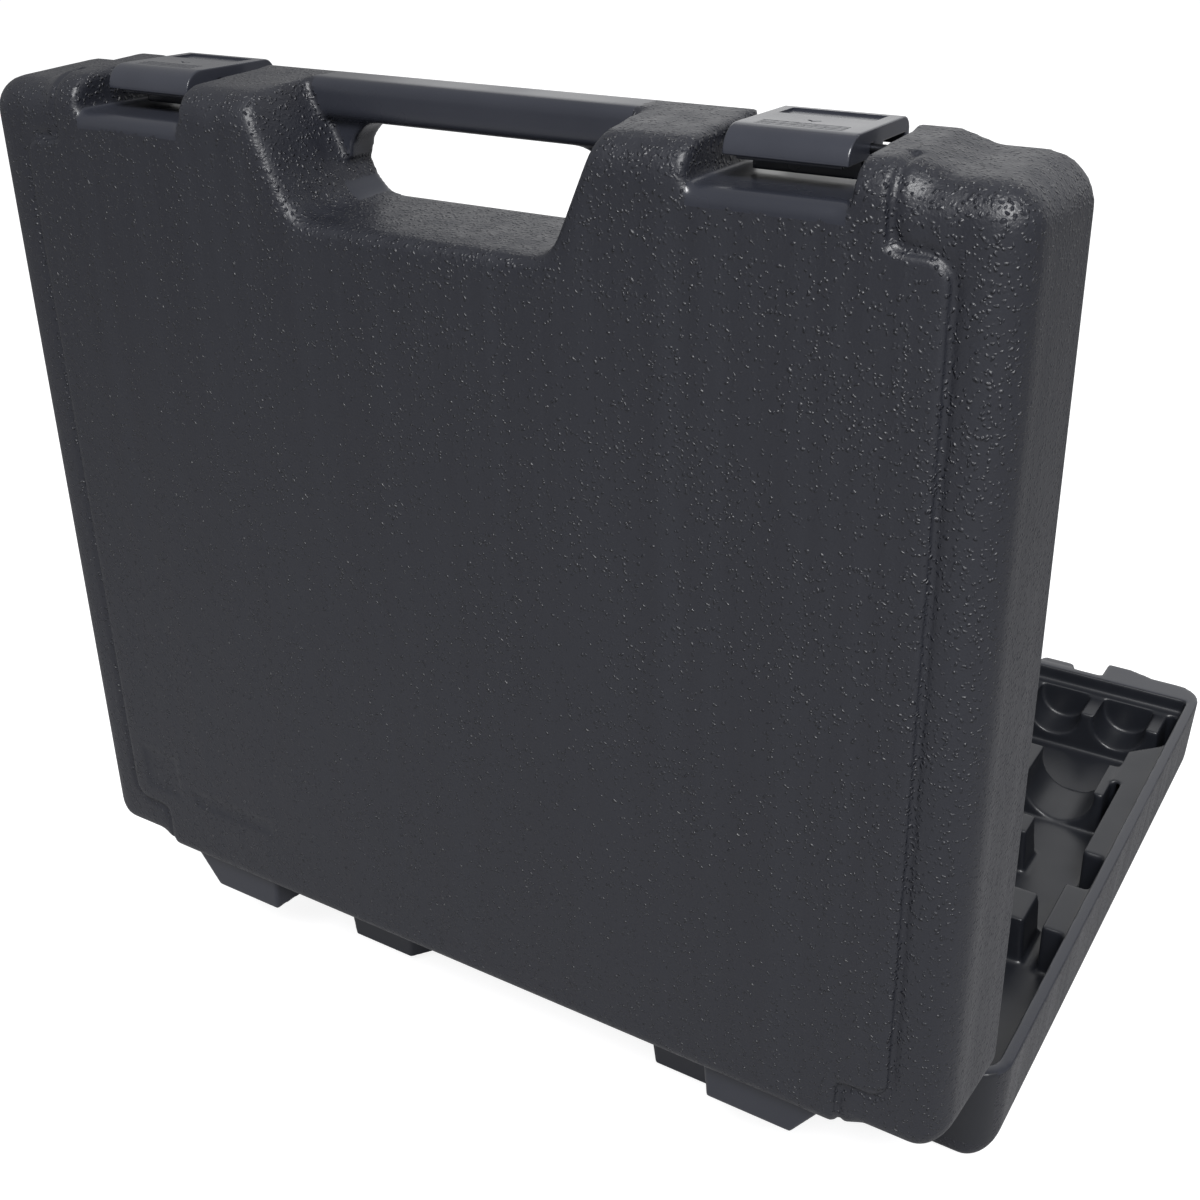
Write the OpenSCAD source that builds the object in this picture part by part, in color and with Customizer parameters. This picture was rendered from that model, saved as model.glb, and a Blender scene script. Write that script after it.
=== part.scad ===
// Hard tool case, blow moulded with double walls, shown open with its lid standing upright.
// Both halves are drawn in one frame of their own: x runs across the case, y runs from the
// hinge axis to the handle side, and z runs from the rim out to the outer face.

/* [Case] */
// Width of the case across the rim
case_width = 399; // [380:0.5:420]
// Height of the case from its spine to its top, over the raised centre
case_height = 332.5; // [325:0.5:350]
// Depth of each half from the rim to the outer face
half_depth = 46.5; // [45:0.5:52]
// Wall of the outer skins
wall = 2.4; // [2:0.1:2.8]
// Corner radius of the halves, seen from the front
corner_r = 14.5; // [14.5:0.5:20]
// Rounding between the outer face and the sides
edge_r = 12; // [9:0.5:12]
// Lean of the side walls from the rim to the rounding
draft = 2; // [1:0.25:2]
// Rounding between the outer face and the spine
spine_r = 5.5; // [4:0.5:8]
// Lean of the spine from the rim to its rounding
spine_draft = 1.5; // [0.5:0.25:2]

/* [Raised centre] */
// Height of the raised panel over the corner margins
panel_rise = 1.5; // [0.5:0.25:2.5]
// How far the centre stands out of the top and the spine beyond the corners
centre_step = 3.5; // [2:0.5:5]
// Width of the slope between the crease beside the centre and the corners
centre_ramp = 12; // [8:1:16]
// Margin beside the wide part of the panel
panel_margin = 22.5; // [20:0.5:30]
// Margin beside the narrow ends of the panel
band_margin = 41; // [38:0.5:43]
// Distance from the spine to the wide part of the panel
panel_foot = 22.5; // [18:0.5:30]
// Distance from the top to the wide part of the panel
panel_head = 25; // [20:0.5:30]
// Corner radius of the panel
panel_r = 6; // [3:0.5:9]

/* [Handle] */
// Half of the finger opening's width
grip_half = 52; // [50:1:56]
// Distance from the top of the case down to the floor of the finger notch
notch_drop = 40; // [38:0.5:44]
// Height of the handle bar
bar_height = 14; // [12:0.5:18]
// Depth of the handle bar in each half
bar_depth = 16.5; // [13:0.5:20]
// How much wider the notch is at the outer face than at the rim, on each side
notch_flare = 3.5; // [3:0.5:8]
// Rounding along the handle bar
bar_r = 4; // [2:0.5:5]

/* [Latches] */
// Distance of each latch from the middle of the case
latch_offset = 122.6; // [115:0.2:124]
// Width of the recess for a latch
recess_width = 50; // [46:0.5:54]
// Depth of the recess below the top of the case
recess_drop = 14.25; // [14.25:0.25:16]
// Depth of the base's recess below the rim
base_recess = 22; // [18:0.5:26]
// Rounding of the recess floor into the outer face
lip_r = 5; // [3:0.5:8]
// Width of a latch
latch_width = 38.4; // [34:0.2:42]
// Thickness of a latch
latch_t = 2.6; // [2:0.1:3]
// Distance from the outer face back to the front lip of a latch
latch_setback = 12; // [10:0.5:14]
// Radius of the rolled front lip
latch_lip_r = 8; // [6.5:0.5:9]
// Diameter of the latch pin
latch_pin_d = 3; // [2.5:0.1:3.4]
// Distance from the rim to the latch pin
latch_pin_w = 18.5; // [17:0.5:21]
// Width of the catch block at its top
catch_width = 16; // [12:0.5:20]
// Height of the catch block over the recess floor
catch_height = 6.5; // [6:0.25:7]
// Thickness of the catch block
catch_t = 4.2; // [3:0.1:5]
// Clearance between the hook and the catch as the lid comes down
hook_free = 0.4; // [0.3:0.05:1]

/* [Hinge] */
// Distance from the hinge axis to the spine
spine_gap = 9.5; // [8:0.25:11]
// Gap between the two rims when the case is shut
closed_gap = 0.3; // [0.2:0.05:0.6]
// Angle to which the lid opens
open_angle = 90; // [0:5:90]
// Radius of the hinge knuckles
knuckle_r = 5.9; // [5:0.1:6.5]
// Diameter of the hinge rods
rod_d = 4; // [3:0.1:4.5]
// Length of the hinge rods
rod_length = 58; // [50:1:60]
// Running clearance around rods and pins
running_fit = 0.06; // [0.02:0.01:0.1]
// How far the base's feet reach from the rim towards the outer face
base_foot_reach = 39.5; // [34:0.5:40]
// How far the lid's feet reach from the rim towards the outer face
lid_foot_reach = 40.5; // [34:0.5:42]
// Distance from the middle to the inner end of a base foot
base_foot_from = 63.6; // [60:0.2:68]
// Width of a base foot at its sole
base_foot_width = 31.5; // [28:0.5:33]
// Gap between the soles of a base foot and a lid foot
foot_gap = 10.6; // [8:0.2:12]
// Width of a lid foot at its sole
lid_foot_width = 34; // [30:0.5:36]
// Gap between the knuckles of two neighbouring feet
knuckle_gap = 0.6; // [0.4:0.1:1]
// Slant of the free end of each foot, across its height
foot_slant = 16; // [10:0.5:18]

/* [Tool nest] */
// Width of the skin's flange around the nest
rim_width = 3.4; // [2.6:0.1:5]
// Thickness of the rim flange
rim_t = 3; // [2:0.25:4]
// Thickness of the inner skins
liner_t = 1.8; // [1.2:0.1:2.2]
// Depth of the nest's shelf below the rim
shelf_drop = 8; // [6:0.5:10]
// Depth of the nest's floor below the rim
well_depth = 32; // [28:0.5:38]
// Distance from the side of the case to the wide parts of the well
well_margin = 7.5; // [6.5:0.25:10]
// How much wider the shelf is beside the narrow parts of the well
ledge_width = 10; // [6:0.5:14]
// Width of the shelf along the front and behind the handle
front_ledge = 4; // [2:0.5:6]
// Depth of the tops of the cradles below the rim
block_drop = 9; // [8:0.5:12]
// Radius of the small cradles along the front
cradle_r = 13.5; // [11:0.25:14.5]
// Distance between the small cradles
cradle_pitch = 34; // [31:0.5:35]
// Depth of the axis of the small cradles below the rim
cradle_axis = 12; // [9:0.5:14]
// Length of the small cradles
cradle_length = 20; // [14:0.5:24]
// Radius of the large cradles
cup_r = 17; // [14:0.5:18]
// Distance between the large cradles
cup_pitch = 52; // [44:0.5:53]
// Depth of the axis of the large cradles below the rim
cup_axis = 13; // [10:0.5:13.5]
// Length of the large cradles
cup_length = 30; // [22:0.5:34]
// Width of the finger channel between the small and the large cradles
channel_width = 41; // [34:0.5:44]
// Depth of the tops of the rest pads below the rim
pad_top = 10; // [8:0.5:16]
// Depth of the inner skin of the lid below the rim
lid_liner_drop = 10; // [8:0.5:14]

/* [Hidden] */

skin_colour = "#3b3c41";
smooth_colour = "#33343a";
latch_colour = "#3f434c";
steel_colour = "#a8abb0";

$fn = 48;
over = 1;
slice = 0.01;
edge_steps = 6;

top_y = spine_gap + case_height;
half_width = case_width / 2;
band_half = half_width - band_margin;
panel_half = half_width - panel_margin;
hinge_y = spine_gap + case_height / 2;
notch_floor = top_y - notch_drop;
recess_floor = top_y - recess_drop;

// ---- The frame of each half ----

// Each half's z starts at its own rim; the hinge axis lies half the closed gap before it
axis_z = -closed_gap / 2;

module base_place() {
    translate([0, hinge_y, half_depth]) rotate([180, 0, 0]) children();
}

module lid_place() {
    translate([0, hinge_y, half_depth - axis_z]) rotate([-open_angle, 0, 0])
        rotate([0, 0, 180]) translate([0, 0, -axis_z]) children();
}

module both_sides() {
    children();
    mirror([1, 0, 0]) children();
}

// Extrudes a y-z outline along x, centred
module along_x(length) {
    rotate([90, 0, 90]) linear_extrude(height = length, center = true) children();
}

// Extrudes an x-z outline along y
module along_y(from, to) {
    translate([0, to, 0]) rotate([90, 0, 0]) linear_extrude(height = to - from) children();
}

module rounded_rect(from, to, r) {
    translate([from[0] + r, from[1]]) square([to[0] - from[0] - 2 * r, to[1] - from[1]]);
    translate([from[0], from[1] + r]) square([to[0] - from[0], to[1] - from[1] - 2 * r]);
    for (x = [from[0] + r, to[0] - r], y = [from[1] + r, to[1] - r])
        translate([x, y]) circle(r);
}

// ---- The outer form, drawn smaller by inset for the space inside the skin ----

// Lean and height of the edge rounding at step i
function edge_lean(i, r) = r * (1 - cos(90 * i / edge_steps));
function edge_rise(i, r) = r * sin(90 * i / edge_steps);

// Lean of the tighter spine, with radius r, at a depth below the face
function tight_lean(depth, r) = depth >= r ? 0 : r - sqrt(r * r - (r - depth) * (r - depth));

// How much further the spine reaches out than the other sides at step i
function spine_extra(i, inset) = let (r = edge_r - inset)
    draft + edge_lean(i, r) - spine_draft - tight_lean(r - edge_rise(i, r), spine_r - inset);

module corner_form(inset) {
    face = half_depth - panel_rise;
    r = edge_r - inset;
    hull() for (x = [-1, 1], y = [-1, 1]) {
        middle = y < 0 ? spine_gap + centre_step + corner_r : top_y - centre_step - corner_r;
        translate([x * (half_width - corner_r), middle, inset > 0 ? -over : 0])
            cylinder(r = corner_r - inset, h = slice, $fn = 32);
        for (i = [0 : edge_steps])
            translate([x * (half_width - corner_r), middle - (y < 0 ? spine_extra(i, inset) : 0),
                face - edge_r + edge_rise(i, r) - slice])
                cylinder(r = corner_r - inset - draft - edge_lean(i, r), h = slice, $fn = 32);
    }
}

// Outline of the centre from spine to top, with its rim and its face lowered
function centre_section(inset, rim_step, face_step) = let (
        r = edge_r - inset, low = spine_gap + inset + rim_step, high = top_y - inset - rim_step,
        start = inset > 0 ? -over : 0, level = half_depth - edge_r - face_step)
    concat(
        [[low, start]],
        [for (i = [0 : edge_steps])
            [low + draft + edge_lean(i, r) - spine_extra(i, inset), level + edge_rise(i, r)]],
        [for (i = [edge_steps : -1 : 0]) [high - draft - edge_lean(i, r), level + edge_rise(i, r)]],
        [[high, start]]);

// Distance from the crease to where the top and the spine start to slope
ramp_from = 2;

// The centre ends in a crease on its face, and its top and spine slope to the corners
module centre_form(inset) {
    along_x(2 * (band_half - inset)) polygon(centre_section(inset, 0, 0));
    ramp_half = band_half + ramp_from - inset;
    hull() {
        along_x(2 * ramp_half) polygon(centre_section(inset, 0, panel_rise));
        along_x(2 * (ramp_half + centre_ramp)) polygon(centre_section(inset, centre_step, centre_step));
    }
}

module panel_form(inset) {
    low = spine_gap + panel_foot + inset;
    high = top_y - panel_head - inset;
    translate([0, 0, half_depth / 2])
        linear_extrude(height = half_depth / 2 - inset)
            rounded_rect([inset - panel_half, low], [panel_half - inset, high], panel_r);
}

// Corner radius of the finger notch, and how far its floor sinks towards the outer face
notch_r = 12;
notch_sink = 2;

// How much further out and up than the grip the top of the notch's side wall is set
notch_spread = 8;
notch_over = 17;

// Half width and height of the finger notch's corner discs at height z
function notch_low(z) = [grip_half - notch_r + (notch_flare - 1) * z / half_depth,
    notch_floor + notch_r - notch_sink * z / half_depth];
function notch_high(z) = [grip_half + notch_spread + notch_flare * z / half_depth, top_y + notch_over];

// Bevel along the notch's edge on the outer face
notch_bevel = 2.5;

module grip_notch(grow) {
    hull() for (side = [-1, 1], z = [-over, half_depth + over], c = [notch_low(z), notch_high(z)])
        translate([side * c[0], c[1], z]) cylinder(r = notch_r + grow, h = slice, $fn = 32);
    if (grow == 0)
        hull() for (side = [-1, 1], rise = [-notch_bevel, over])
            for (c = [notch_low(half_depth + rise), notch_high(half_depth + rise)])
                translate([side * c[0], c[1], half_depth + rise])
                    cylinder(r = notch_r + notch_bevel + rise, h = slice, $fn = 32);
}

// The recess for a latch, right through the lid and part of the way down the base
module latch_recess(grow, is_lid) {
    low = recess_floor - grow;
    depth = is_lid ? half_depth + over : base_recess + grow;
    back = is_lid ? 0 : recess_drop;
    both_sides() translate([latch_offset, 0, 0]) along_x(recess_width + 2 * grow) {
        polygon([[low, -over], [top_y + over, -over], [top_y + over, depth + back], [low, depth]]);
        if (is_lid && grow == 0) difference() {
            translate([low - lip_r, half_depth - lip_r]) square(lip_r + over);
            translate([low - lip_r, half_depth - lip_r]) circle(lip_r);
        }
    }
}

module half_form(inset, is_lid) {
    difference() {
        union() {
            corner_form(inset);
            centre_form(inset);
            panel_form(inset);
        }
        grip_notch(inset);
        latch_recess(inset, is_lid);
    }
}

// Right half of the notch's outline at the rim, with corner radius r
function notch_points(r) = let (
        low = notch_low(0), high = notch_high(0), lean = atan2(low[0] - high[0], high[1] - low[1]))
    concat(
        [[-over, low[1] - r]],
        [for (i = [0 : edge_steps]) let (a = -90 + i * (90 + lean) / edge_steps) low + r * [cos(a), sin(a)]],
        [high + r * [cos(lean), sin(lean)], [-over, high[1]]]);

// Outline of the opening at the rim, drawn smaller by inset
module mouth(inset) {
    low = spine_gap + inset;
    high = top_y - inset;
    ramp = band_half + ramp_from - inset;
    end = ramp + centre_ramp;
    difference() {
        union() {
            rounded_rect([inset - half_width, low + centre_step],
                [half_width - inset, high - centre_step], corner_r - inset);
            polygon([[-ramp, low], [ramp, low], [end, low + centre_step], [end, high - centre_step],
                [ramp, high], [-ramp, high], [-end, high - centre_step], [-end, low + centre_step]]);
        }
        both_sides() {
            polygon(notch_points(notch_r + inset));
            translate([latch_offset - recess_width / 2 - inset, recess_floor - inset])
                square([recess_width + 2 * inset, recess_drop + 2 * inset]);
        }
    }
}

// How far the notch's leaning wall comes in beside an inner skin
notch_lean = notch_flare * (max(shelf_drop, lid_liner_drop) + liner_t) / half_depth;

// Outline of the space inside the rim flange, drawn smaller by inset and straight along the front
module inner_mouth(inset) {
    difference() {
        intersection() {
            mouth(rim_width + inset);
            translate([-half_width, 0]) square([case_width, recess_floor - rim_width - inset]);
        }
        both_sides() polygon(notch_points(notch_r + rim_width + inset + notch_lean));
    }
}

// ---- Outer skins ----

module half_shell(is_lid) {
    difference() {
        half_form(0, is_lid);
        half_form(wall, is_lid);
    }
    linear_extrude(height = rim_t) difference() {
        mouth(wall / 2);
        inner_mouth(0);
    }
}

module base_shell() {
    color(skin_colour) base_place() half_shell(false);
}

mark_size = 20;
mark_from = [-168, 31];
label_size = [44, 7];
label_from = [-140, 30];
mark_depth = 0.6;

module lid_shell() {
    color(skin_colour) lid_place() difference() {
        half_shell(true);
        both_sides() translate([latch_offset, latch_pin_y, latch_pin_w])
            rotate([0, 90, 0]) cylinder(d = latch_pin_d, h = latch_pin_length, center = true);
        translate([mark_from[0], spine_gap + mark_from[1], half_depth - mark_depth])
            cube([mark_size, mark_size, mark_depth + over]);
        translate([label_from[0], spine_gap + label_from[1], half_depth - mark_depth])
            cube([label_size[0], label_size[1], mark_depth + over]);
    }
}

// ---- Inner skins ----

// The dished skin that lines a half: its wall, its top surface at drop, and what hangs below it
module liner_skin(drop) {
    linear_extrude(height = drop + liner_t) inner_mouth(0);
}

module liner_clear(drop) {
    translate([0, 0, -over]) linear_extrude(height = drop + over) inner_mouth(liner_t);
}

well_half = half_width - well_margin;
well_front = recess_floor - rim_width - liner_t - front_ledge;
well_notch = notch_floor - rim_width - liner_t - front_ledge;
well_notch_half = grip_half + notch_flare + rim_width + liner_t + front_ledge;
well_back_margin = 20.5;
well_back = spine_gap + well_back_margin;
cup_front = well_front - cradle_length - channel_width;
cup_back = cup_front - cup_length;
cradle_fit = 0.3;
cradle_outer_land = 7;
cradle_inner_land = 4;

// Distances from the spine at which the shelf steps out and in again
ledge_steps = [107.5, 142.5, 168.5];
ledge_ramp = 15;
ledge_notch = 4;

// Right half of the well's outline, grown by grow
function well_points(grow) = let (
        wide = well_half + grow, narrow = wide - ledge_width, inner = narrow - ledge_notch,
        y = [for (step = ledge_steps) spine_gap + step], ramp_end = cup_front + 2 * ledge_ramp)
    [[-over, well_back - grow], [wide, well_back - grow], [wide, y[0] + grow], [narrow, y[0] + grow],
    [narrow, y[1] - grow], [wide, y[1] - grow], [wide, y[2] + grow], [narrow, y[2] + grow],
    [narrow, cup_back + cup_length / 2 - grow], [inner, cup_back + cup_length / 2 - grow],
    [inner, ramp_end - ledge_ramp], [wide, ramp_end], [wide, well_front + grow],
    [well_notch_half - grow, well_front + grow], [well_notch_half - grow, well_notch + grow],
    [-over, well_notch + grow]];

module well(depth, grow) {
    linear_extrude(height = depth) both_sides() polygon(well_points(grow));
}

module base_tool_nest() {
    color(smooth_colour) base_place() difference() {
        union() {
            liner_skin(shelf_drop);
            well(well_depth + liner_t, liner_t);
        }
        liner_clear(shelf_drop);
        well(well_depth, 0);
    }
}

// Three small cradles in one block that stands on the nest's floor, at the right
module cradles() {
    high = well_front - cradle_fit;
    outer = well_half - ledge_width / 2 - cradle_fit;
    first = outer - cradle_outer_land - cradle_r;
    inner = first - 2 * cradle_pitch - cradle_r - cradle_inner_land;
    along_y(high - cradle_length, high) difference() {
        translate([inner, block_drop]) square([outer - inner, well_depth - block_drop]);
        for (i = [0 : 2])
            translate([first - i * cradle_pitch, cradle_axis]) circle(cradle_r);
    }
}

module base_cradles_right() {
    color(smooth_colour) base_place() cradles();
}

module base_cradles_left() {
    color(smooth_colour) base_place() mirror([1, 0, 0]) cradles();
}

large_cradles_half = well_half - ledge_width - ledge_notch - cradle_fit;

// One block across the nest with a row of large cradles, as many as its width holds
module base_large_cradles() {
    count = floor((large_cradles_half - cup_r - 2) / cup_pitch);
    color(smooth_colour) base_place() along_y(cup_back, cup_front) difference() {
        translate([-large_cradles_half, block_drop])
            square([2 * large_cradles_half, well_depth - block_drop]);
        for (i = [-count : count])
            translate([i * cup_pitch, cup_axis]) circle(cup_r);
    }
}

// Bare pads that stand on the nest's floor and carry the shafts of the tools
front_pads = [27, 18];
rear_pads = [24, 25];
pad_count = 4;
pad_lean = 1.5;
front_pads_from = 38;
front_pads_in = 40;
rear_pads_from = 121;
rear_pads_in = 19;

function pad_side(length) = let (foot = length / 2, top = length / 2 - pad_lean)
    [[-foot, well_depth], [foot, well_depth], [top, pad_top], [-top, pad_top]];

// A pad whose four sides lean in towards its top
module rest_pad(size) {
    intersection() {
        along_x(size[0]) polygon(pad_side(size[1]));
        along_y(-size[1], size[1]) polygon(pad_side(size[0]));
    }
}

module rest_pads() {
    outer = well_half - ledge_width;
    rows = [[front_pads, cup_back - front_pads_from, outer - front_pads_in],
        [rear_pads, spine_gap + rear_pads_from, outer - rear_pads_in]];
    for (row = rows, i = [0 : pad_count - 1])
        translate([row[2] * (1 - i / pad_count), row[1], 0]) rest_pad(row[0]);
}

module base_rest_pads_right() {
    color(smooth_colour) base_place() rest_pads();
}

module base_rest_pads_left() {
    color(smooth_colour) base_place() mirror([1, 0, 0]) rest_pads();
}

lid_pad_rows = 2;
lid_pad_columns = 3;
lid_pad_gap = 24;
lid_pad_drop = 4;
lid_pad_r = 10;

// Shallow pads sunk into the lid's inner skin
module lid_pads(grow) {
    from = [-well_half + ledge_width, well_back];
    to = [well_half - ledge_width, well_notch - front_ledge];
    width = (to[0] - from[0] - lid_pad_gap * (lid_pad_columns - 1)) / lid_pad_columns;
    height = (to[1] - from[1] - lid_pad_gap * (lid_pad_rows - 1)) / lid_pad_rows;
    linear_extrude(height = lid_liner_drop + lid_pad_drop + grow)
        for (i = [0 : lid_pad_columns - 1], j = [0 : lid_pad_rows - 1]) {
            low = from + [i * (width + lid_pad_gap), j * (height + lid_pad_gap)];
            rounded_rect(low - [grow, grow], low + [width + grow, height + grow], lid_pad_r + grow);
        }
}

module lid_liner() {
    color(smooth_colour) lid_place() difference() {
        union() {
            liner_skin(lid_liner_drop);
            lid_pads(liner_t);
        }
        liner_clear(lid_liner_drop);
        lid_pads(0);
    }
}

// ---- Handle halves ----

// Corner radius of the finger opening
opening_r = (notch_drop - bar_height) / 2;

module handle_half() {
    bar_low = top_y - bar_height;
    intersection() {
        grip_notch(0);
        union() {
            along_x(4 * grip_half) {
                translate([bar_low, 0]) square([bar_height, bar_depth - bar_r]);
                translate([bar_low + bar_r, 0]) square([bar_height - 2 * bar_r, bar_depth]);
                for (y = [bar_low + bar_r, top_y - bar_r])
                    translate([y, bar_depth - bar_r]) circle(bar_r);
            }
            linear_extrude(height = bar_depth - bar_r) difference() {
                translate([-2 * grip_half, notch_floor + opening_r])
                    square([4 * grip_half, opening_r + bar_height / 2]);
                rounded_rect([-grip_half, notch_floor], [grip_half, bar_low], opening_r - slice);
            }
        }
    }
}

module base_handle() {
    color(smooth_colour) base_place() handle_half();
}

module lid_handle() {
    color(smooth_colour) lid_place() handle_half();
}

// ---- Feet with their hinge knuckles ----

stop_gap = 0.3;
heel_back = 1;
rod_inset = (rod_length - knuckle_gap) / 2;
knuckle_x = base_foot_from + base_foot_width + foot_gap / 2;

// A foot whose hinge end is at x = hinge and whose free end is slanted, on one side of it
module foot(reach, hinge, sole_near, sole_far, side, bore_r) {
    heel = spine_gap - stop_gap;
    root_y = spine_gap + draft + edge_r / 3;
    far_hinge = sole_far + side * 3;
    difference() {
        union() {
            hull() {
                translate([0, 0, reach - slice]) linear_extrude(height = slice)
                    polygon([[sole_near, -knuckle_r], [sole_far, -knuckle_r],
                        [sole_far + side * foot_slant, root_y], [sole_near - side * 2, root_y]]);
                linear_extrude(height = slice)
                    polygon([[hinge, -knuckle_r], [far_hinge, -knuckle_r],
                        [far_hinge + side * foot_slant, root_y], [hinge, root_y]]);
            }
            translate([hinge, 0, axis_z]) rotate([0, side * 90, 0])
                cylinder(r = knuckle_r, h = abs(far_hinge - hinge));
            translate([min(hinge, far_hinge), -knuckle_r, axis_z - heel])
                cube([abs(far_hinge - hinge), knuckle_r - heel_back, heel]);
        }
        corner_form(0);
        centre_form(0);
        translate([hinge - side * over, 0, axis_z]) rotate([0, side * 90, 0])
            cylinder(r = bore_r, h = rod_inset + over);
    }
}

module base_foot() {
    foot(base_foot_reach, knuckle_x - knuckle_gap / 2, base_foot_from + base_foot_width,
        base_foot_from, -1, rod_d / 2);
}

module lid_foot() {
    near = base_foot_from + base_foot_width + foot_gap;
    foot(lid_foot_reach, knuckle_x + knuckle_gap / 2, near, near + lid_foot_width, 1,
        rod_d / 2 + running_fit);
}

module base_foot_right() {
    color(smooth_colour) base_place() base_foot();
}

module base_foot_left() {
    color(smooth_colour) base_place() mirror([1, 0, 0]) base_foot();
}

module lid_foot_right() {
    color(smooth_colour) lid_place() mirror([1, 0, 0]) lid_foot();
}

module lid_foot_left() {
    color(smooth_colour) lid_place() lid_foot();
}

module hinge_rod() {
    translate([knuckle_x, 0, axis_z]) rotate([0, 90, 0])
        cylinder(d = rod_d, h = rod_length - 2 * running_fit, center = true);
}

module hinge_rod_right() {
    color(steel_colour) base_place() hinge_rod();
}

module hinge_rod_left() {
    color(steel_colour) base_place() mirror([1, 0, 0]) hinge_rod();
}

// ---- Catches and latches ----

catch_from = 0.5;
catch_slope = 3;

module catch_block() {
    half = catch_width / 2;
    translate([latch_offset, recess_floor, catch_from]) linear_extrude(height = catch_t)
        polygon([[-half - catch_slope, 0], [half + catch_slope, 0], [half, catch_height], [-half, catch_height]]);
}

module base_catch_right() {
    color(smooth_colour) base_place() catch_block();
}

module base_catch_left() {
    color(smooth_colour) base_place() mirror([1, 0, 0]) catch_block();
}

latch_over_top = 0.75;
latch_top = top_y + latch_over_top;
latch_front = half_depth - latch_setback;
hook_clear = 0.5;
hook_in = -(catch_from + catch_t + hook_clear + closed_gap);
hook_out = hook_in - latch_t;
hook_r = 4;
hook_tip = recess_floor + catch_height + hook_free;
boss_r = latch_pin_d / 2 + 2;
latch_pin_y = latch_top - latch_t - boss_r + 0.6;
latch_pin_length = recess_width + wall * 1.6;
latch_side_t = 2;
grip_rib_t = 1.6;

// Side view of a latch, with its plate, rolled lip and hook thinner by inset
module latch_outline(inset) {
    r = latch_lip_r - inset;
    difference() {
        union() {
            translate([latch_top - latch_lip_r, hook_out + inset + hook_r])
                square([latch_lip_r - inset, latch_front - latch_lip_r - hook_out - inset - hook_r]);
            translate([latch_top - latch_lip_r, latch_front - latch_lip_r]) circle(r);
            translate([latch_top - hook_r, hook_out + hook_r]) circle(hook_r - inset);
            translate([latch_top - latch_lip_r, hook_out + inset]) square([latch_lip_r - hook_r, 6]);
        }
        translate([latch_top - 3 * latch_lip_r, hook_out - over])
            square([2 * latch_lip_r, latch_front - hook_out + 2 * over]);
    }
}

module latch() {
    translate([latch_offset, 0, 0]) difference() {
        union() {
            difference() {
                along_x(latch_width) latch_outline(0);
                along_x(latch_width - 2 * latch_side_t) latch_outline(latch_t);
                along_x(latch_width + over) translate([latch_top - latch_lip_r - over, hook_in])
                    square([latch_lip_r - latch_t - 1, latch_pin_w - boss_r - hook_in - 4]);
            }
            along_x(latch_width) translate([hook_tip, hook_out])
                square([latch_top - latch_lip_r - hook_tip + 1, latch_t]);
            along_x(latch_width - 6) translate([latch_pin_y, latch_pin_w]) circle(boss_r);
            along_x(latch_width - 6) translate([latch_top - latch_lip_r - 1.4, latch_front - 4.6])
                square([latch_lip_r - latch_t + 1, grip_rib_t]);
        }
        along_x(latch_width + over) translate([latch_pin_y, latch_pin_w])
            circle(latch_pin_d / 2 + running_fit);
    }
}

module latch_left() {
    color(latch_colour) lid_place() latch();
}

module latch_right() {
    color(latch_colour) lid_place() mirror([1, 0, 0]) latch();
}

module latch_pin() {
    translate([latch_offset, latch_pin_y, latch_pin_w]) rotate([0, 90, 0])
        cylinder(d = latch_pin_d, h = latch_pin_length, center = true);
}

module latch_pin_left() {
    color(steel_colour) lid_place() latch_pin();
}

module latch_pin_right() {
    color(steel_colour) lid_place() mirror([1, 0, 0]) latch_pin();
}

base_shell();
base_tool_nest();
base_cradles_left();
base_cradles_right();
base_large_cradles();
base_rest_pads_left();
base_rest_pads_right();
base_handle();
base_foot_left();
base_foot_right();
base_catch_left();
base_catch_right();
hinge_rod_left();
hinge_rod_right();
lid_shell();
lid_liner();
lid_handle();
lid_foot_left();
lid_foot_right();
latch_pin_left();
latch_pin_right();
latch_left();
latch_right();
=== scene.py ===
import math
import bpy
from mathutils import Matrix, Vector


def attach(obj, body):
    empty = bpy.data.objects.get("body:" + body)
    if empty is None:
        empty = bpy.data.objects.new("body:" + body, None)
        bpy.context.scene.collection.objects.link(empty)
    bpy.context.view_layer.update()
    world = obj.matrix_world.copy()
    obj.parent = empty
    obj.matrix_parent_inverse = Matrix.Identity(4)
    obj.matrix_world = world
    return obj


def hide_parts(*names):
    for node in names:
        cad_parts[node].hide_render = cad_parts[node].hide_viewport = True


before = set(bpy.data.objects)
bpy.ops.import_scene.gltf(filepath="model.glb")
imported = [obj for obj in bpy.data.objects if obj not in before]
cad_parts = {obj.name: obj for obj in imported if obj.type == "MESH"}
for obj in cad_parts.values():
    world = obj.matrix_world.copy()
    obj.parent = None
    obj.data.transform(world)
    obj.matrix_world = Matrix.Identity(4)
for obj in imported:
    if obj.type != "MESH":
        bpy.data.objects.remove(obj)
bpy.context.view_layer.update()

# A blow-moulded tool case that stands open, seen from behind. Blender works in metres; sizes in the
# dictionaries are in mm, apart from those of the stage, lamps, camera and voxels.
mmPerMetre = 1000
white = (1, 1, 1, 1)


def linearColour(hexText):
    parts = [int(hexText[i:i + 2], 16) / 255 for i in (1, 3, 5)]
    return [c / 12.92 if c <= 0.04045 else ((c + 0.055) / 1.055) ** 2.4 for c in parts] + [1]


def addNode(tree, kind, settings={}, links={}):
    node = tree.nodes.new("ShaderNode" + kind)
    for name, value in settings.items():
        if isinstance(name, int) or name in node.inputs:
            node.inputs[name].default_value = value
        else:
            setattr(node, name, value)
    for name, source in links.items():
        tree.links.new(source, node.inputs[name])
    return node


def emptyTree(owner):
    owner.use_nodes = True
    owner.node_tree.nodes.clear()
    return owner.node_tree


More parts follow.
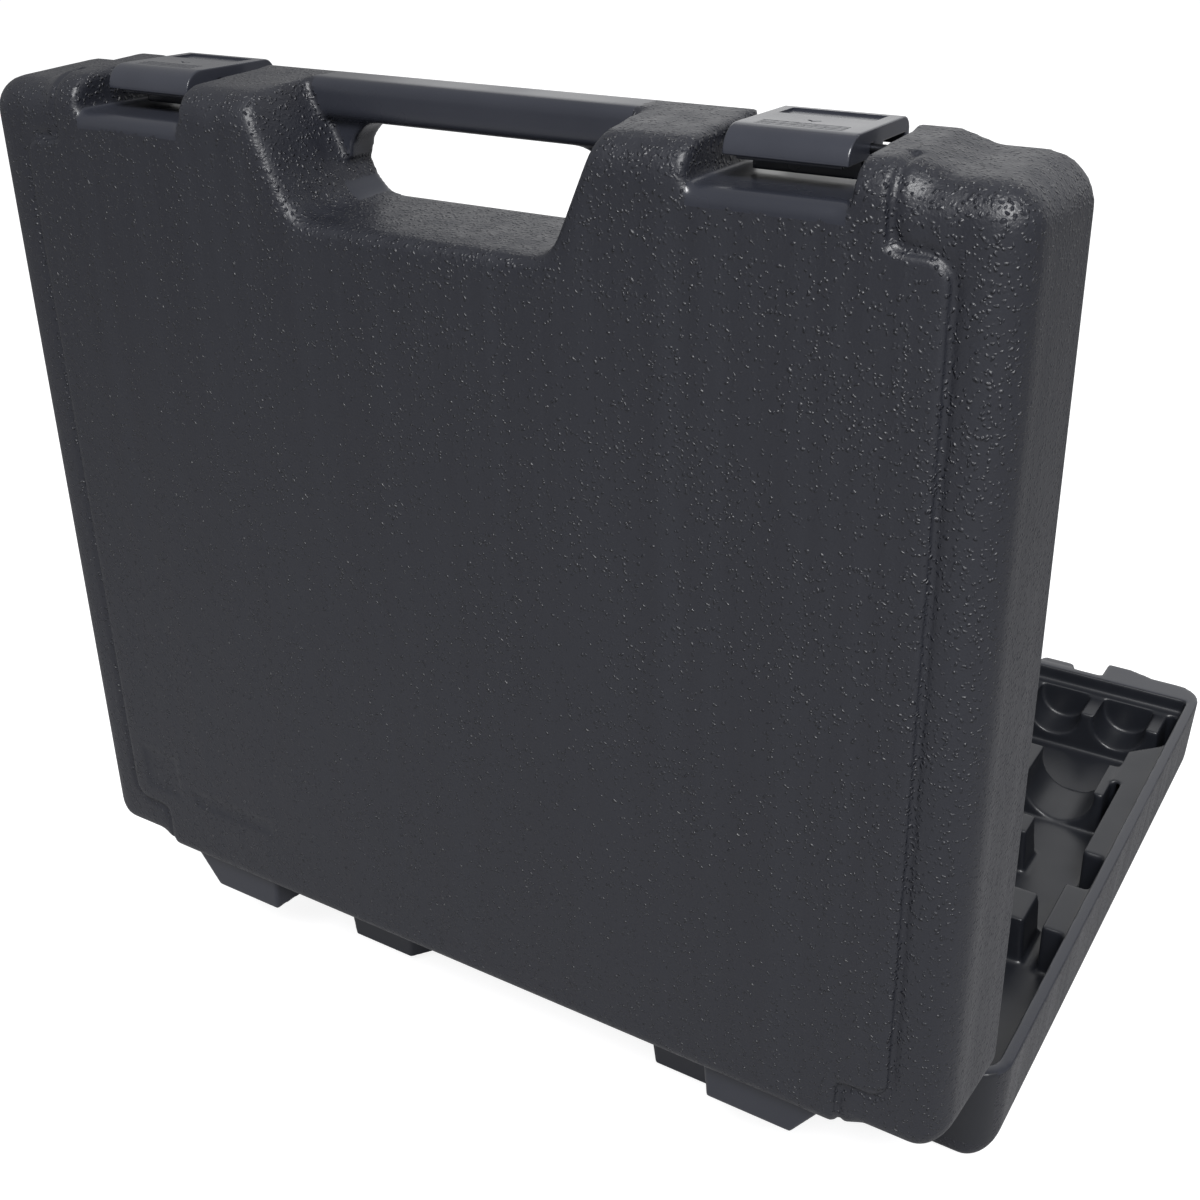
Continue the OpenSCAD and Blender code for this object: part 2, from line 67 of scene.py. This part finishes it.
# A material with its shader and output, and the place on the piece in mm for its patterns
def newMaterial(name, shaderSettings):
    material = bpy.data.materials.new(name)
    tree = emptyTree(material)
    shader = addNode(tree, "BsdfPrincipled", shaderSettings)
    addNode(tree, "OutputMaterial", {}, {"Surface": shader.outputs["BSDF"]})
    place = addNode(tree, "TexCoord").outputs["Object"]
    toMm = (mmPerMetre, mmPerMetre, mmPerMetre)
    inMm = addNode(tree, "Mapping", {"Scale": toMm}, {"Vector": place}).outputs["Vector"]
    return material, tree, shader, inMm


plasticIor = 1.5  # polyethylene and polypropylene
noiseRange = (0.3, 0.7)  # where nearly all values of a noise lie


# Links a plastic's colour and roughness to a slow variation, and its heights in mm to the bump
def finishPlastic(tree, shader, look, variation, heights):
    bump = None
    for height, size in heights:
        links = {"Height": height, "Normal": bump} if bump else {"Height": height}
        bump = addNode(tree, "Bump", {"Strength": 1, "Distance": size / mmPerMetre}, links).outputs[0]
    colours = {"data_type": "RGBA", 6: linearColour(look["colour"]), 7: linearColour(look["paleColour"])}
    colour = addNode(tree, "Mix", colours, {0: variation}).outputs[2]
    rough = addNode(tree, "MapRange", {"From Min": noiseRange[0], "From Max": noiseRange[1],
                                       "To Min": look["roughness"][0], "To Max": look["roughness"][1]},
                    {"Value": variation}).outputs[0]
    tree.links.new(colour, shader.inputs["Base Color"])
    tree.links.new(rough, shader.inputs["Roughness"])
    tree.links.new(bump, shader.inputs["Normal"])


# Blow-moulded polyethylene from a spark-eroded mould: satin, with small raised pips that stand close
# together near the edges and thin out where the skin was drawn flat. The real grain is finer, and is
# drawn at 1 to 2 mm, as coarse as it needs to show. Slow clouds and streaks keep it from looking even.
grainedSkin = {
    "colour": "#17181f", "paleColour": "#202229", "roughness": (0.38, 0.49),
    "pipSpacing": 1.6, "pipRadius": 0.78, "pipHeight": 0.55, "lowestPip": 0.5, "fewest": 0.6, "most": 1.4,
    "warpSize": 2.0, "warp": 1.8, "fineSize": 0.9, "fineHeight": 0.16, "peelSize": 7, "peelHeight": 0.2,
    "cloudSize": 38, "cloudRange": (0.35, 0.65), "cloudShare": (0.55, 1.5), "streakSize": (7, 7, 300),
}


def makeGrainedSkin(name, look):
    material, tree, shader, inMm = newMaterial(name, {"IOR": plasticIor})
    streakScale = [1 / size for size in look["streakSize"]]
    streaks = addNode(tree, "Mapping", {"Scale": streakScale}, {"Vector": inMm}).outputs[0]
    streakNoise = addNode(tree, "TexNoise", {"Scale": 1, "Detail": 3}, {"Vector": streaks}).outputs["Fac"]
    cloud = addNode(tree, "TexNoise", {"Scale": 1 / look["cloudSize"], "Detail": 3},
                    {"Vector": inMm}).outputs["Fac"]
    # how many of the pips stand, from the mesh's own attribute and the clouds
    coarse = addNode(tree, "Attribute", {"attribute_name": "coarse"}).outputs["Fac"]
    share = addNode(tree, "MapRange", {"To Min": look["fewest"], "To Max": look["most"]},
                    {"Value": coarse}).outputs[0]
    cloudShare = addNode(tree, "MapRange", {
        "From Min": look["cloudRange"][0], "From Max": look["cloudRange"][1],
        "To Min": look["cloudShare"][0], "To Max": look["cloudShare"][1]}, {"Value": cloud}).outputs[0]
    density = addNode(tree, "Math", {"operation": "MULTIPLY"}, {0: share, 1: cloudShare}).outputs[0]
    # one pip in each cell, bent out of round by a noise that moves the cells' coordinates
    bend = addNode(tree, "TexNoise", {"Scale": 1 / look["warpSize"], "Detail": 0},
                   {"Vector": inMm}).outputs["Color"]
    centred = addNode(tree, "VectorMath", {"operation": "SUBTRACT", 1: (0.5, 0.5, 0.5)}, {0: bend}).outputs[0]
    shift = addNode(tree, "VectorMath", {"operation": "SCALE", "Scale": look["warp"]},
                    {0: centred}).outputs[0]
    bent = addNode(tree, "VectorMath", {"operation": "ADD"}, {0: inMm, 1: shift}).outputs[0]
    cells = addNode(tree, "TexVoronoi", {"Scale": 1 / look["pipSpacing"]}, {"Vector": bent})
    reach = look["pipRadius"] / look["pipSpacing"]
    dome = addNode(tree, "MapRange", {"From Min": reach, "From Max": 0, "interpolation_type": "SMOOTHSTEP"},
                   {"Value": cells.outputs["Distance"]}).outputs[0]
    draw = addNode(tree, "SeparateColor", {}, {0: cells.outputs["Color"]})
    stands = addNode(tree, "Math", {"operation": "LESS_THAN"}, {0: draw.outputs[0], 1: density}).outputs[0]
    tall = addNode(tree, "MapRange", {"To Min": look["lowestPip"], "To Max": 1.0},
                   {"Value": draw.outputs[1]}).outputs[0]
    high = addNode(tree, "Math", {"operation": "MULTIPLY"}, {0: stands, 1: tall}).outputs[0]
    pips = addNode(tree, "Math", {"operation": "MULTIPLY"}, {0: dome, 1: high}).outputs[0]
    fine = addNode(tree, "TexNoise", {"Scale": 1 / look["fineSize"], "Detail": 2},
                   {"Vector": inMm}).outputs["Fac"]
    peel = addNode(tree, "TexNoise", {"Scale": 1 / look["peelSize"], "Detail": 1},
                   {"Vector": inMm}).outputs["Fac"]
    finishPlastic(tree, shader, look, streakNoise, (
        (peel, look["peelHeight"]), (fine, look["fineHeight"]), (pips, look["pipHeight"])))
    return material


# The same plastic where the mould was polished: handle, feet, flange and latch recesses.
smoothSkin = {"colour": "#22242b", "paleColour": "#2b2d35", "roughness": (0.24, 0.36), "cloudSize": 45,
              "fineSize": 0.8, "fineHeight": 0.012}

# Injection-moulded polypropylene from a polished mould: smooth and a little glossy, a shade bluer.
latchPlastic = {"colour": "#292b32", "paleColour": "#31333b", "roughness": (0.2, 0.28), "cloudSize": 20,
                "fineSize": 0.6, "fineHeight": 0.006}

# The inner skins and the nest, drawn thin over a polished core: darker and a little duller.
nestPlastic = {"colour": "#17191e", "paleColour": "#1e2026", "roughness": (0.34, 0.46), "cloudSize": 30,
               "fineSize": 0.8, "fineHeight": 0.01}


def makeSmoothSkin(name, look):
    material, tree, shader, inMm = newMaterial(name, {"IOR": plasticIor})
    cloud = addNode(tree, "TexNoise", {"Scale": 1 / look["cloudSize"], "Detail": 4},
                    {"Vector": inMm}).outputs["Fac"]
    fine = addNode(tree, "TexNoise", {"Scale": 1 / look["fineSize"], "Detail": 3},
                   {"Vector": inMm}).outputs["Fac"]
    finishPlastic(tree, shader, look, cloud, ((fine, look["fineHeight"]),))
    return material


# Drawn steel wire: bright, with fine lines along the drawing direction.
steelWire = {"colour": "#b9bbbf", "roughness": (0.25, 0.4), "lineSize": (30, 0.15, 0.15)}

# The latches' pins are the same wire, blackened in oxide: dark grey and duller.
blackWire = {"colour": "#2c2d31", "roughness": (0.4, 0.55), "lineSize": (30, 0.15, 0.15)}


def makeSteelWire(name, look):
    finish = {"Metallic": 1.0, "Base Color": linearColour(look["colour"])}
    material, tree, shader, inMm = newMaterial(name, finish)
    lineScale = [1 / size for size in look["lineSize"]]
    lines = addNode(tree, "Mapping", {"Scale": lineScale}, {"Vector": inMm}).outputs[0]
    noise = addNode(tree, "TexNoise", {"Scale": 1, "Detail": 2}, {"Vector": lines}).outputs["Fac"]
    rough = addNode(tree, "MapRange", {"To Min": look["roughness"][0], "To Max": look["roughness"][1]},
                    {"Value": noise}).outputs[0]
    tree.links.new(rough, shader.inputs["Roughness"])
    return material


grained = makeGrainedSkin("moulded_polyethylene_grained", grainedSkin)
smooth = makeSmoothSkin("moulded_polyethylene_smooth", smoothSkin)
nestSkin = makeSmoothSkin("moulded_polyethylene_inner", nestPlastic)
latchSkin = makeSmoothSkin("moulded_polypropylene_polished", latchPlastic)
wire = makeSteelWire("drawn_steel_wire", steelWire)
darkWire = makeSteelWire("blackened_steel_wire", blackWire)
print("materials made")


def giveMaterial(obj, *materials):
    obj.data.materials.clear()
    for material in materials:
        obj.data.materials.append(material)


for name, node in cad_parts.items():
    steel = wire if name.startswith("hinge_rod") else darkWire
    giveMaterial(node, steel if name.startswith(("hinge_rod", "latch_pin")) else smooth)


# The case's own sizes, as in the CAD or close to them. Each half has a frame of its own: u runs across,
# v from the hinge axis to the handle side, and w from the rim out to the outer face.
case = {
    "halfWidth": 199.5, "spineGap": 9.5, "height": 332.5, "halfDepth": 46.5, "closedGap": 0.3,
    "flange": 3.4, "recessFloor": 327.75, "latchOffset": 122.6, "recessHalf": 25, "baseRecess": 22,
    "notchFloor": 302, "notchSink": 2, "notchHalf": 52, "notchLean": 20, "notchRise": 45, "notchFlare": 2.5,
    "notchCorner": 12, "barDepth": 16.5,
    "bandHalf": 158.5, "panelHalf": 177, "panelFoot": 22.5, "panelHead": 25, "panelCorner": 8,
}
topV = case["spineGap"] + case["height"]
hingeY = case["spineGap"] + case["height"] / 2
halfGap = case["closedGap"] / 2


# A point of the scene in metres, as u, v and w of the base
def baseFrame(p):
    return p[0] * mmPerMetre, hingeY - p[1] * mmPerMetre, case["halfDepth"] - p[2] * mmPerMetre


# The same for the lid, which stands upright in the scene
def lidFrame(p):
    return (-p[0] * mmPerMetre, p[2] * mmPerMetre - case["halfDepth"] - halfGap,
            p[1] * mmPerMetre - hingeY - halfGap)


# The distance from the finger notch's outline: below 0 inside the notch, above 0 in the plastic
def notchDistance(u, v, w):
    floor = case["notchFloor"] - case["notchSink"] * w / case["halfDepth"]
    rise = max(0, v - case["notchFloor"] - case["notchCorner"]) / case["notchRise"]
    half = case["notchHalf"] + case["notchFlare"] * w / case["halfDepth"] + case["notchLean"] * rise
    return max(abs(u) - half, floor - v)


# 1 up to half the reach away, then falling to 0 at the whole reach
def near(distance, reach):
    return max(0.0, min(1.0, 2 - 2 * abs(distance) / reach))


# The notch's edges are rounded at the outer face, and the rounding fades out towards the rim
notchSoften = {"passes": 44, "reach": 11, "faceDepth": 44, "faceReach": 18}


def notchRounding(u, v, w):
    byFace = near(max(0, notchSoften["faceDepth"] - w), notchSoften["faceReach"])
    return near(notchDistance(u, v, w), notchSoften["reach"]) * byFace


# The latch recesses' side edges are rounded, at the top and where the recess ends. The rim stays sharp.
recessSoften = {"passes": 14, "reach": 6, "belowFloor": 6, "pastEnd": 9, "atEnd": 4, "rim": 2, "rimEase": 4}


def recessRounding(u, v, w, recessDepth):
    look = recessSoften
    side = abs(abs(u) - case["latchOffset"]) - case["recessHalf"]
    if v < case["recessFloor"] - look["belowFloor"] or w < look["rim"] or w > recessDepth + look["pastEnd"]:
        return 0
    top = near(topV - v, 2 * look["reach"]) if w < recessDepth - look["atEnd"] else 1
    return near(side, look["reach"]) * top * min(1, (w - look["rim"]) / look["rimEase"])


# The crease that runs along the raised panel's outline, with a rounded cross-section. The outline turns
# in a smooth curve, over the length of blend, from the narrow band at the ends to the wide part.
crease = {"depth": 1.3, "width": 1.5, "outside": 0.8, "tail": 3, "blend": 7}


# The distance outside the raised panel's outline
def panelDistance(u, v):
    middle = (topV - case["panelHead"] + case["spineGap"] + case["panelFoot"]) / 2
    reach = (topV - case["panelHead"] - case["spineGap"] - case["panelFoot"]) / 2
    across = abs(u) - case["panelHalf"] + case["panelCorner"]
    along = abs(v - middle) - reach + case["panelCorner"]
    wide = math.hypot(max(across, 0), max(along, 0)) + min(max(across, along), 0) - case["panelCorner"]
    narrow = abs(u) - case["bandHalf"]
    mix = max(0.0, min(1.0, 0.5 + 0.5 * (narrow - wide) / crease["blend"]))
    return narrow + (wide - narrow) * mix - crease["blend"] * mix * (1 - mix)


# Presses the crease into the outer face and its rounding, which start at the given depth
def pressCrease(piece, place, creaseFrom):
    moved = []
    for vertex, normal in zip(piece.data.vertices, piece.data.vertex_normals):
        spot = vertex.co.copy()
        u, v, w = place(spot)
        if w > creaseFrom:
            off = (panelDistance(u, v) - crease["outside"]) / crease["width"]
            if abs(off) < crease["tail"]:
                spot -= normal.vector * (crease["depth"] * math.exp(-off * off) / mmPerMetre)
        moved.extend(spot)
    piece.data.vertices.foreach_set("co", moved)
    piece.data.update()


# How close together the pips stand, from 0 to 1: they crowd on the sides, near the edges of the outer
# face and beside the notch
pipCrowd = {"sides": 0.75, "sideDepth": 12, "edgeReach": 60, "notch": 0.9, "notchReach": 22, "least": 0.12}


def coarseness(u, v, w):
    look = pipCrowd
    if w < case["halfDepth"] - look["sideDepth"]:
        return look["sides"]
    edge = min(case["halfWidth"] - abs(u), topV - v, v - case["spineGap"])
    notch = notchDistance(u, v, w)
    return max(look["least"], 1 - edge / look["edgeReach"], look["notch"] - abs(notch) / look["notchReach"])


# The faces' regions, in the order of a moulding's materials: the grained outer skin, the polished trim
# (handle, rim flange and latch recesses), and the inner skin and nest. Below, how far each reaches.
outerSkin, trim, innerSkin = range(3)
regionEdges = {"barInNotch": 1.2, "barOver": 0.5, "notchWall": 4.6, "rim": 0.7, "innerRim": 0.2,
               "recessIn": 0.6, "belowRecess": 5}


def faceRegion(u, v, w, linerDepth):
    look = regionEdges
    side = abs(u)
    notch = notchDistance(u, v, w)
    flange = case["flange"]
    if notch < -look["barInNotch"] and w < case["barDepth"] + look["barOver"]:
        return trim
    inner = (side < case["halfWidth"] - flange
             and case["spineGap"] + flange < v < case["recessFloor"] - flange)
    if w < look["rim"] and not (inner and w > look["innerRim"]):
        return trim
    if inner and notch >= look["notchWall"] and w < linerDepth:
        return innerSkin
    inRecess = abs(side - case["latchOffset"]) < case["recessHalf"] - look["recessIn"]
    if inRecess and v > case["recessFloor"] - look["belowRecess"]:
        return trim
    return outerSkin


def applyModifier(piece, kind, settings):
    modifier = piece.modifiers.new("step", kind)
    for name, value in settings.items():
        setattr(modifier, name, value)
    bpy.ops.object.modifier_apply(modifier="step")


# One skin over copies of the CAD nodes: joined, wrapped by a voxel remesh and softened
def wrapNodes(name, nodes, sizes, extras=()):
    bpy.ops.object.select_all(action="DESELECT")
    for extra in extras:
        extra.select_set(True)
    for nodeName in nodes:
        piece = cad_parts[nodeName].copy()
        piece.data = piece.data.copy()
        piece.parent = None
        bpy.context.collection.objects.link(piece)
        piece.select_set(True)
    bpy.context.view_layer.objects.active = piece
    if len(nodes) + len(extras) > 1:
        bpy.ops.object.join()
    piece = bpy.context.object
    piece.name = name
    bpy.ops.object.mode_set(mode="EDIT")
    bpy.ops.mesh.select_all(action="SELECT")
    bpy.ops.mesh.remove_doubles(threshold=1e-5)
    bpy.ops.object.mode_set(mode="OBJECT")
    voxel = sizes["voxel"]
    applyModifier(piece, "REMESH", {"mode": "VOXEL", "voxel_size": voxel, "use_smooth_shade": True})
    applyModifier(piece, "SMOOTH", {"factor": 0.5, "iterations": sizes["passes"]})
    return piece


# Softens the piece again where weightAt, of a vertex's place, is above 0
def roundEdges(piece, passes, weightAt):
    group = piece.vertex_groups.new(name="edges")
    for vertex in piece.data.vertices:
        weight = weightAt(vertex.co)
        if weight > 0:
            group.add([vertex.index], weight, "REPLACE")
    applyModifier(piece, "SMOOTH", {"factor": 0.5, "iterations": passes, "vertex_group": "edges"})
    piece.vertex_groups.clear()


# Thins the piece to the given number of triangles, and lets it stand for its nodes on their body
def settlePiece(piece, nodes, body, mostTriangles):
    triangles = sum(len(face.vertices) - 2 for face in piece.data.polygons)
    if triangles > mostTriangles:
        applyModifier(piece, "DECIMATE", {"ratio": mostTriangles / triangles})
    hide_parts(*nodes)
    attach(piece, body)


# A half is one moulding: shell, inner skin, half-handle and what stands inside. The base's recesses end
# inside it, and the lid's run right through. linerDepth is how deep the inner skin goes.
mouldings = {
    "base_moulding": {
        "body": "base", "frame": baseFrame, "linerDepth": 36, "recessDepth": case["baseRecess"],
        "creaseFrom": 36.5,
        "nodes": ["base_shell", "base_tool_nest", "base_cradles_left", "base_cradles_right",
                  "base_large_cradles", "base_rest_pads_left", "base_rest_pads_right", "base_handle",
                  "base_catch_left", "base_catch_right"],
    },
    "lid_moulding": {
        "body": "lid", "frame": lidFrame, "linerDepth": 17, "recessDepth": case["halfDepth"],
        "creaseFrom": 30,
        "nodes": ["lid_shell", "lid_liner", "lid_handle"],
    },
}
soften = {"voxel": 0.0011, "quickVoxel": 0.0016, "passes": 5, "faces": 190000}


def makeMoulding(name, half):
    place = half["frame"]
    piece = wrapNodes(name, half["nodes"], soften)
    roundEdges(piece, notchSoften["passes"], lambda p: notchRounding(*place(p)))
    roundEdges(piece, recessSoften["passes"], lambda p: recessRounding(*place(p), half["recessDepth"]))
    pressCrease(piece, place, half["creaseFrom"])
    settlePiece(piece, half["nodes"], half["body"], soften["faces"])
    giveMaterial(piece, grained, smooth, nestSkin)
    for face in piece.data.polygons:
        face.material_index = faceRegion(*place(face.center), half["linerDepth"])
    coarse = piece.data.attributes.new("coarse", "FLOAT", "POINT")
    coarse.data.foreach_set("value", [coarseness(*place(vertex.co)) for vertex in piece.data.vertices])
    print(name, "made with", len(piece.data.polygons), "faces")


for name, half in mouldings.items():
    makeMoulding(name, half)

# The hinge feet, solid lugs of the same moulding, made finer
footSoften = {"voxel": 0.0006, "quickVoxel": 0.0009, "passes": 8, "faces": 30000}

for name in ("base_foot_left", "base_foot_right", "lid_foot_left", "lid_foot_right"):
    piece = wrapNodes(name + "_moulded", [name], footSoften)
    settlePiece(piece, [name], name.split("_")[0], footSoften["faces"])
    giveMaterial(piece, smooth)
print("feet made")

# A latch is moulded in one piece. Its top carries four grip lines, the two strokes of an arrow and a bare
# sunk field, each so far back from the latch's front edge. The web lies under the latch's pivot, between
# two corners in the lid's frame, and closes the recess behind the lip.
latchSoften = {"voxel": 0.00034, "quickVoxel": 0.0006, "passes": 7, "faces": 60000}
latchLook = {
    "top": topV + 0.75, "front": 34.5, "web": ((-17, 328.6, 17.2), (17, 335.5, 19.8)),
    "lines": 4, "lineFrom": 8.6, "linePitch": 1.75, "lineSize": (27, 0.45), "lineDepth": 0.4,
    "arrowFrom": 18.5, "arrowSize": (2.6, 0.7), "arrowDepth": 0.5, "arrowAngle": 38, "arrowOverlap": 0.9,
    "fieldFrom": 27, "fieldSize": (30, 9.5), "fieldDepth": 0.7,
}


# A point of the lid's frame on the left latch, in metres in the scene
def latchPoint(u, v, w):
    return (-(u + case["latchOffset"]) / mmPerMetre, (w + hingeY + halfGap) / mmPerMetre,
            (v + case["halfDepth"] + halfGap) / mmPerMetre)


# A block with its middle at u, v, w and its size along u, w and v, turned about the vertical
def addBlock(middle, size, angle=None):
    bpy.ops.mesh.primitive_cube_add(size=1, location=latchPoint(*middle))
    block = bpy.context.object
    bpy.ops.object.mode_set(mode="EDIT")
    bpy.ops.mesh.select_all(action="SELECT")
    bpy.ops.transform.resize(value=[length / mmPerMetre for length in size])
    if angle is not None:
        bpy.ops.transform.rotate(value=math.radians(angle), orient_axis="Z", center_override=block.location)
    bpy.ops.object.mode_set(mode="OBJECT")
    return block


def addWeb():
    low, high = latchLook["web"]
    middle = [(a + b) / 2 for a, b in zip(low, high)]
    return addBlock(middle, [high[i] - low[i] for i in (0, 2, 1)])


# A cutter that reaches as far above the latch's top as it cuts below
def addCutter(u, w, size, depth, angle=0):
    return addBlock((u, latchLook["top"], w), (size[0], size[1], 2 * depth), angle)


def cutLatch(piece):
    look = latchLook
    front = look["front"]
    bpy.ops.object.select_all(action="DESELECT")
    cutters = [addCutter(0, front - look["lineFrom"] - i * look["linePitch"], look["lineSize"],
                         look["lineDepth"]) for i in range(look["lines"])]
    angle = look["arrowAngle"]
    apart = look["arrowSize"][0] / 2 * math.cos(math.radians(angle)) * look["arrowOverlap"]
    cutters += [addCutter(side * apart, front - look["arrowFrom"], look["arrowSize"], look["arrowDepth"],
                          -side * angle) for side in (-1, 1)]
    fieldSize = look["fieldSize"]
    cutters.append(addCutter(0, front - look["fieldFrom"] - fieldSize[1] / 2, fieldSize, look["fieldDepth"]))
    for cutter in cutters:
        bpy.ops.object.select_all(action="DESELECT")
        cutter.select_set(True)
        bpy.context.view_layer.objects.active = piece
        applyModifier(piece, "BOOLEAN", {"operation": "DIFFERENCE", "solver": "EXACT", "object": cutter})
        bpy.data.objects.remove(cutter)


bpy.ops.object.select_all(action="DESELECT")
latchPiece = wrapNodes("latch_left_moulded", ["latch_left"], latchSoften, [addWeb()])
settlePiece(latchPiece, ["latch_left"], "latch_left_body", latchSoften["faces"])
cutLatch(latchPiece)
giveMaterial(latchPiece, latchSkin)

bpy.ops.object.select_all(action="DESELECT")
otherLatch = latchPiece.copy()
otherLatch.data = latchPiece.data.copy()
otherLatch.name = "latch_right_moulded"
bpy.context.collection.objects.link(otherLatch)
for vertex in otherLatch.data.vertices:
    vertex.co.x += 2 * case["latchOffset"] / mmPerMetre
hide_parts("latch_right")
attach(otherLatch, "latch_right_body")
print("latches made with", len(latchPiece.data.polygons), "faces each")

# White paper: its own shade under the lamps, with a white that only the camera sees mixed in, so that the
# ground stays white and still takes the case's shadow. The world is white to the camera and through glass.
stageLook = {"floorSize": 80.0, "floorColour": "#aaaaac", "floorGlow": 0.87, "worldStrength": 0.38}


def buildFloor():
    bpy.ops.object.select_all(action="DESELECT")
    bpy.ops.mesh.primitive_plane_add(size=stageLook["floorSize"], location=(0, 0, 0))
    floor = bpy.context.object
    floor.name = "floor"
    material = bpy.data.materials.new("paper_sweep")
    tree = emptyTree(material)
    camera = addNode(tree, "LightPath").outputs["Is Camera Ray"]
    seen = addNode(tree, "Math", {"operation": "MULTIPLY", 1: stageLook["floorGlow"]}, {0: camera}).outputs[0]
    paper = addNode(tree, "BsdfDiffuse", {"Color": linearColour(stageLook["floorColour"])})
    glow = addNode(tree, "Emission", {"Color": white}, {"Strength": seen})
    both = addNode(tree, "AddShader", {}, {0: paper.outputs[0], 1: glow.outputs[0]})
    addNode(tree, "OutputMaterial", {}, {"Surface": both.outputs[0]})
    floor.data.materials.append(material)


def buildWorld():
    world = bpy.data.worlds.new("studio")
    bpy.context.scene.world = world
    tree = emptyTree(world)
    path = addNode(tree, "LightPath")
    seen = addNode(tree, "Math", {"operation": "MAXIMUM"}, {
        0: path.outputs["Is Camera Ray"], 1: path.outputs["Is Transmission Ray"]}).outputs[0]
    strength = addNode(tree, "MapRange", {"To Min": stageLook["worldStrength"], "To Max": 1.0},
                       {"Value": seen}).outputs[0]
    sky = addNode(tree, "Background", {"Color": white}, {"Strength": strength})
    addNode(tree, "OutputWorld", {}, {"Surface": sky.outputs[0]})


# A soft box high behind the case on the camera's side, and a broad weak light from the front. Metres and
# watts.
lamps = {
    "keyBox": {"place": (-0.75, 1.35, 1.8), "aim": (-0.05, 0.1, 0.25), "size": (1.0, 0.6), "power": 62},
    "backdrop": {"place": (0.2, -2.4, 1.3), "aim": (0, 0, 0.3), "size": (4.0, 2.4), "power": 22},
}


def buildLamps():
    for name, look in lamps.items():
        data = bpy.data.lights.new(name, "AREA")
        data.shape = "RECTANGLE"
        data.size, data.size_y = look["size"]
        data.energy = look["power"]
        lamp = bpy.data.objects.new(name, data)
        bpy.context.collection.objects.link(lamp)
        lamp.location = look["place"]
        towards = Vector(look["aim"]) - Vector(look["place"])
        lamp.rotation_euler = towards.to_track_quat("-Z", "Y").to_euler()


# The photograph's own view: from behind the open case, at the right end, about 25 degrees above it
cameraView = {"place": (-0.30506, 0.58530, 0.46167), "turn": (65.425, 0.104, -149.599),
              "sensor": 36, "lens": 45.397, "shift": (-0.05308, -0.05940)}


def buildCamera():
    data = bpy.data.cameras.new("camera")
    camera = bpy.data.objects.new("camera", data)
    bpy.context.collection.objects.link(camera)
    data.sensor_width = cameraView["sensor"]
    data.lens = cameraView["lens"]
    data.shift_x, data.shift_y = cameraView["shift"]
    camera.location = cameraView["place"]
    camera.rotation_euler = [math.radians(angle) for angle in cameraView["turn"]]
    bpy.context.scene.camera = camera


buildFloor()
buildWorld()
buildLamps()
buildCamera()
bpy.context.scene.view_settings.view_transform = "Standard"
print("stage, lamps and camera made")
